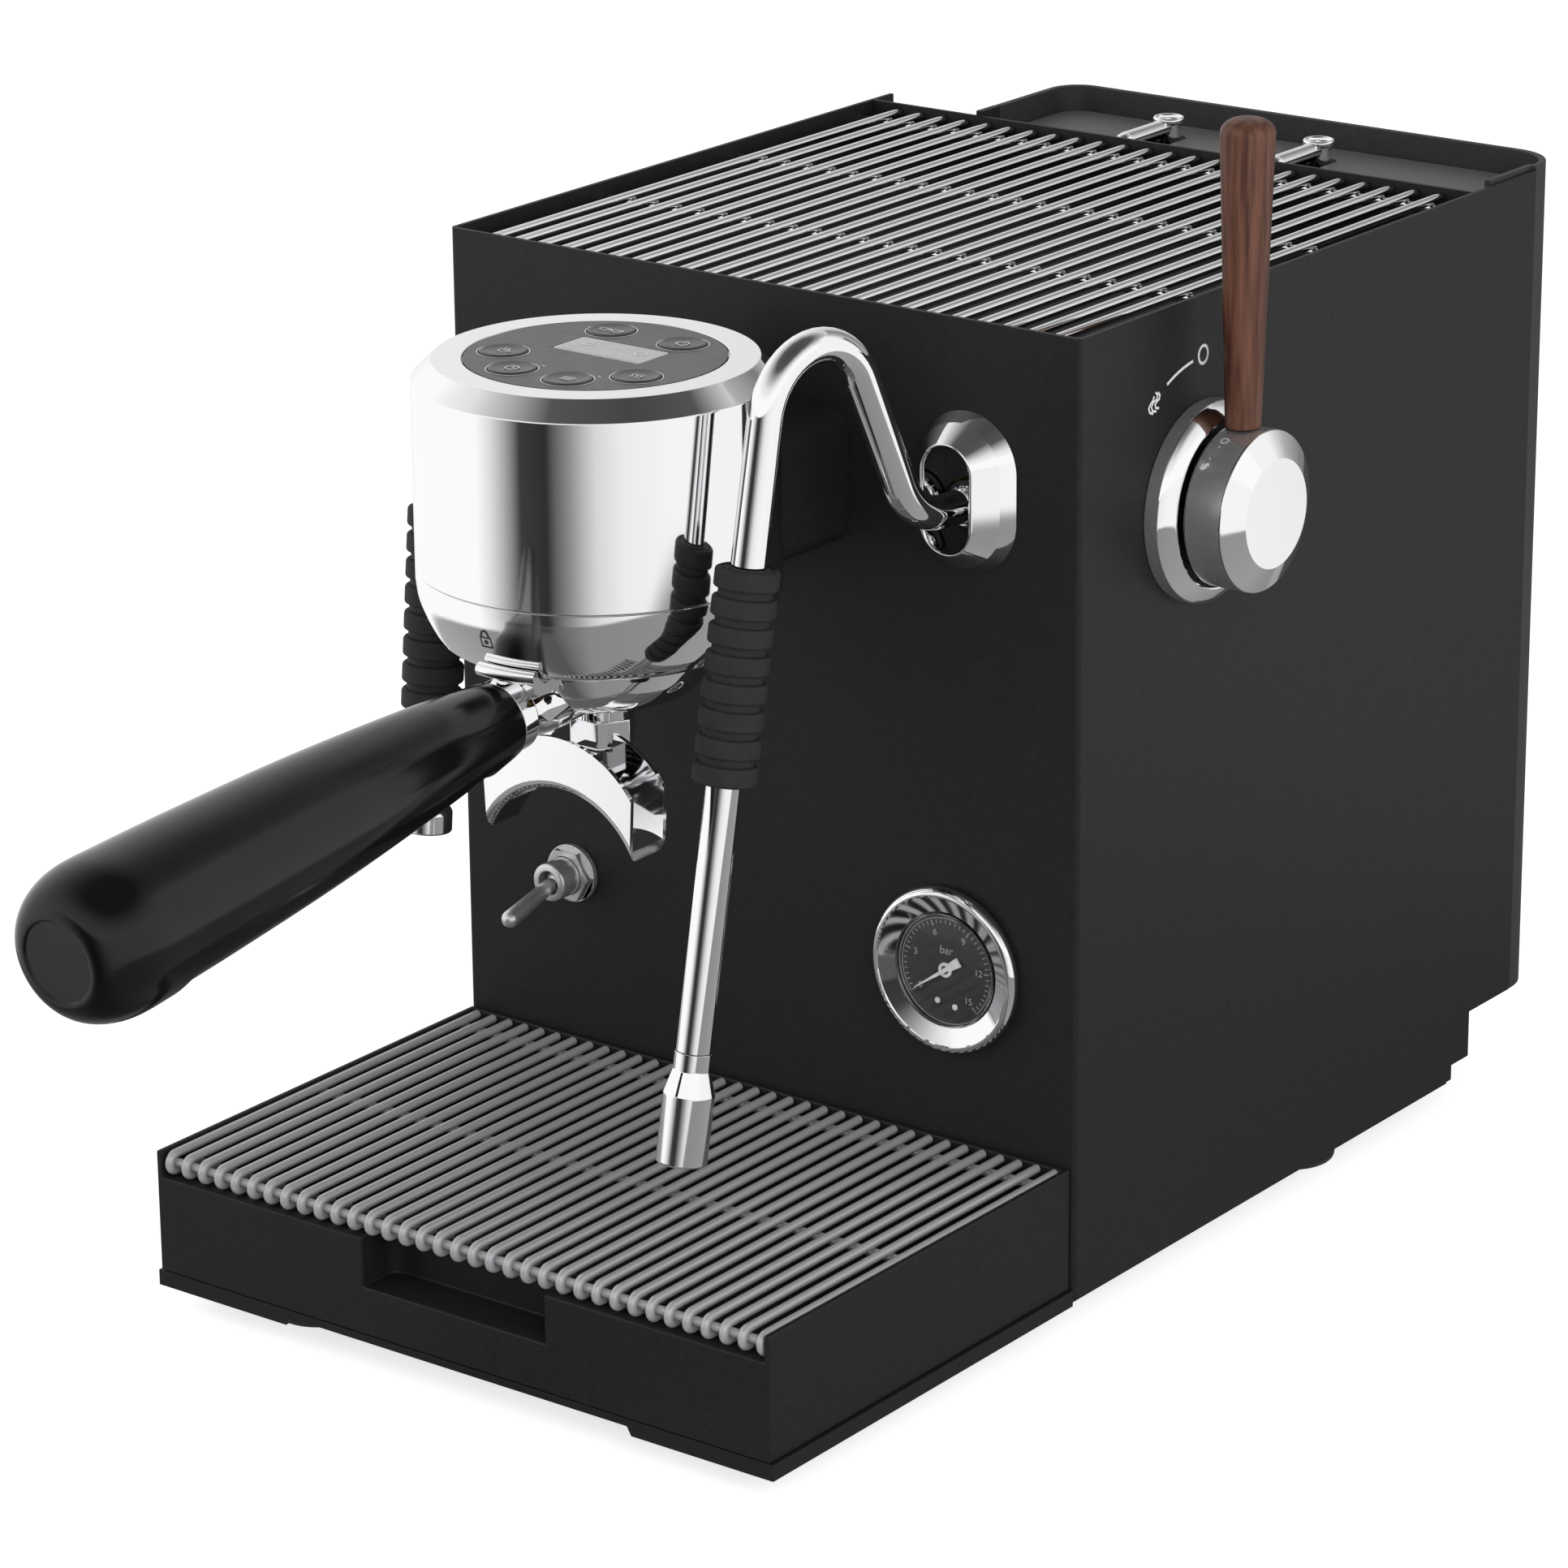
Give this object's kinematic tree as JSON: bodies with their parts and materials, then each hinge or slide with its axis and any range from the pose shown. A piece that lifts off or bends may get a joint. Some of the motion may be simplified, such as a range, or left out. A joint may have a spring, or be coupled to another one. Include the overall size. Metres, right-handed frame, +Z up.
{
  "type": "espresso machine",
  "caption": "Compact espresso machine with a side-lever steam valve, ribbed-grip wands, a long-handled portafilter under a round group, a slide-out drip tray and a rear water tank.",
  "frame": {"origin": "on the counter under the middle of the machine's bounding box", "axes": "+Z up, -Y towards the user, along the portafilter handle, +X to the user's right, where the steam lever is"},
  "size_m": [0.2782, 0.6188, 0.3882],
  "materials": {
    "powder_coat": "fine matte black powder coat",
    "polished_chrome": "polished",
    "stainless_steel": "satin",
    "cast_brass": "as machined",
    "copper": "drawn copper tube",
    "black_rubber": "matte",
    "black_handle": "gloss",
    "panel_plastic": "satin grey",
    "button_plastic": "satin grey with a pale mark",
    "display": "pale display window",
    "tank_plastic": "fine matte",
    "dial": "dark printed dial",
    "needle": "pale",
    "clear_glass": "clear",
    "walnut": "oiled walnut"
  },
  "bodies": {
    "machine": {"base_pan": "powder_coat", "casing_wrap": "powder_coat", "rear_panel": "powder_coat", "cup_tray": "powder_coat", "group_neck": "powder_coat", "group_cover": "polished_chrome", "group_skirt": "polished_chrome", "steam_wand_escutcheon": "polished_chrome", "water_wand_escutcheon": "polished_chrome", "lever_plate": "polished_chrome", "toggle_nut": "polished_chrome", "toggle_switch": "polished_chrome", "gauge_bezel": "polished_chrome", "tank_pipes": "polished_chrome", "shower_screen": "stainless_steel", "boiler": "stainless_steel", "casing_screws": "stainless_steel", "group_head": "cast_brass", "wand_sockets": "cast_brass", "steam_valve": "cast_brass", "solenoid_valve": "cast_brass", "copper_lines": "copper", "rubber_feet": "black_rubber", "group_gasket": "black_rubber", "control_panel": "panel_plastic", "display_window": "display", "water_tank": "tank_plastic", "control_box": "tank_plastic", "power_inlet": "tank_plastic", "vibration_pump": "tank_plastic", "button_board": "tank_plastic", "gauge_dial": "dial", "gauge_glass": "clear_glass"},
    "steam_lever": {"steam_knob": "polished_chrome", "lever_handle": "walnut"},
    "steam_ball": {"steam_wand_ball": "polished_chrome"},
    "steam_wand": {"steam_wand_tube": "polished_chrome", "steam_wand_grip": "black_rubber", "steam_nozzle": "polished_chrome"},
    "water_ball": {"water_wand_ball": "polished_chrome"},
    "water_wand": {"water_wand_tube": "polished_chrome", "water_wand_grip": "black_rubber", "water_nozzle": "polished_chrome"},
    "toggle": {"toggle_bat": "polished_chrome"},
    "portafilter": {"portafilter_body": "polished_chrome", "portafilter_handle": "black_handle", "filter_basket": "stainless_steel", "spout_nut": "polished_chrome", "spout": "polished_chrome"},
    "tray": {"drip_tray": "powder_coat"},
    "tray_grid": {"drip_grid": "polished_chrome"},
    "cup_rest": {"cup_grid": "polished_chrome"},
    "lid": {"tank_lid": "tank_plastic"},
    "needle": {"gauge_needle": "needle"},
    "button_back_left_key": {"button_back_left": "button_plastic"},
    "button_back_right_key": {"button_back_right": "button_plastic"},
    "button_left_key": {"button_left": "button_plastic"},
    "button_front_left_key": {"button_front_left": "button_plastic"},
    "button_front_right_key": {"button_front_right": "button_plastic"},
    "button_right_key": {"button_right": "button_plastic"}
  },
  "joints": [
    {"name": "steam_lever_turn", "type": "hinge", "parent": "machine", "child": "steam_lever", "pos_m": [0.1109, 0.0854, 0.2634], "axis": [1, 0, 0], "range_deg": [0, 40]},
    {"name": "steam_wand_tilt", "type": "hinge", "parent": "machine", "child": "steam_ball", "pos_m": [0.0689, 0.0184, 0.271], "axis": [-1, 0, 0], "range_deg": [0, 20]},
    {"name": "steam_wand_swing", "type": "hinge", "parent": "steam_ball", "child": "steam_wand", "pos_m": [0.0689, 0.0184, 0.271], "axis": [-0.1191, -0.9929, 0], "range_deg": [-8, 8]},
    {"name": "water_wand_tilt", "type": "hinge", "parent": "machine", "child": "water_ball", "pos_m": [-0.0971, 0.0184, 0.271], "axis": [-1, 0, 0], "range_deg": [0, 20]},
    {"name": "water_wand_swing", "type": "hinge", "parent": "water_ball", "child": "water_wand", "pos_m": [-0.0971, 0.0184, 0.271], "axis": [0, -1, 0], "range_deg": [-10, 10]},
    {"name": "toggle_throw", "type": "hinge", "parent": "machine", "child": "toggle", "pos_m": [-0.0921, 0.0084, 0.1155], "axis": [-1, 0, 0], "range_deg": [0, 30]},
    {"name": "portafilter_turn", "type": "hinge", "parent": "machine", "child": "portafilter", "pos_m": [-0.0141, -0.0623, 0.2492], "axis": [0, 0, -1], "range_deg": [0, 45]},
    {"name": "tray_pull", "type": "slide", "parent": "machine", "child": "tray", "axis": [0, -1, 0], "range_m": [0, 0.17]},
    {"name": "tray_grid_lift", "type": "slide", "parent": "tray", "child": "tray_grid", "axis": [0, 0, 1], "range_m": [0, 0.02]},
    {"name": "cup_grid_lift", "type": "slide", "parent": "machine", "child": "cup_rest", "axis": [0, 0, 1], "range_m": [0, 0.03]},
    {"name": "tank_lid_lift", "type": "slide", "parent": "machine", "child": "lid", "axis": [0, 0, 1], "range_m": [0, 0.06]},
    {"name": "gauge_needle_turn", "type": "hinge", "parent": "machine", "child": "needle", "pos_m": [0.0623, 0.0155, 0.1155], "axis": [0, 1, 0], "range_deg": [0, 270], "stiffness_Nm_per_rad": 0.0005},
    {"name": "button_back_left_press", "type": "slide", "parent": "machine", "child": "button_back_left_key", "axis": [0, 0, -1], "range_m": [0, 0.001], "stiffness_N_per_m": 600},
    {"name": "button_back_right_press", "type": "slide", "parent": "machine", "child": "button_back_right_key", "axis": [0, 0, -1], "range_m": [0, 0.001], "stiffness_N_per_m": 600},
    {"name": "button_left_press", "type": "slide", "parent": "machine", "child": "button_left_key", "axis": [0, 0, -1], "range_m": [0, 0.001], "stiffness_N_per_m": 600},
    {"name": "button_front_left_press", "type": "slide", "parent": "machine", "child": "button_front_left_key", "axis": [0, 0, -1], "range_m": [0, 0.001], "stiffness_N_per_m": 600},
    {"name": "button_front_right_press", "type": "slide", "parent": "machine", "child": "button_front_right_key", "axis": [0, 0, -1], "range_m": [0, 0.001], "stiffness_N_per_m": 600},
    {"name": "button_right_press", "type": "slide", "parent": "machine", "child": "button_right_key", "axis": [0, 0, -1], "range_m": [0, 0.001], "stiffness_N_per_m": 600}
  ]
}
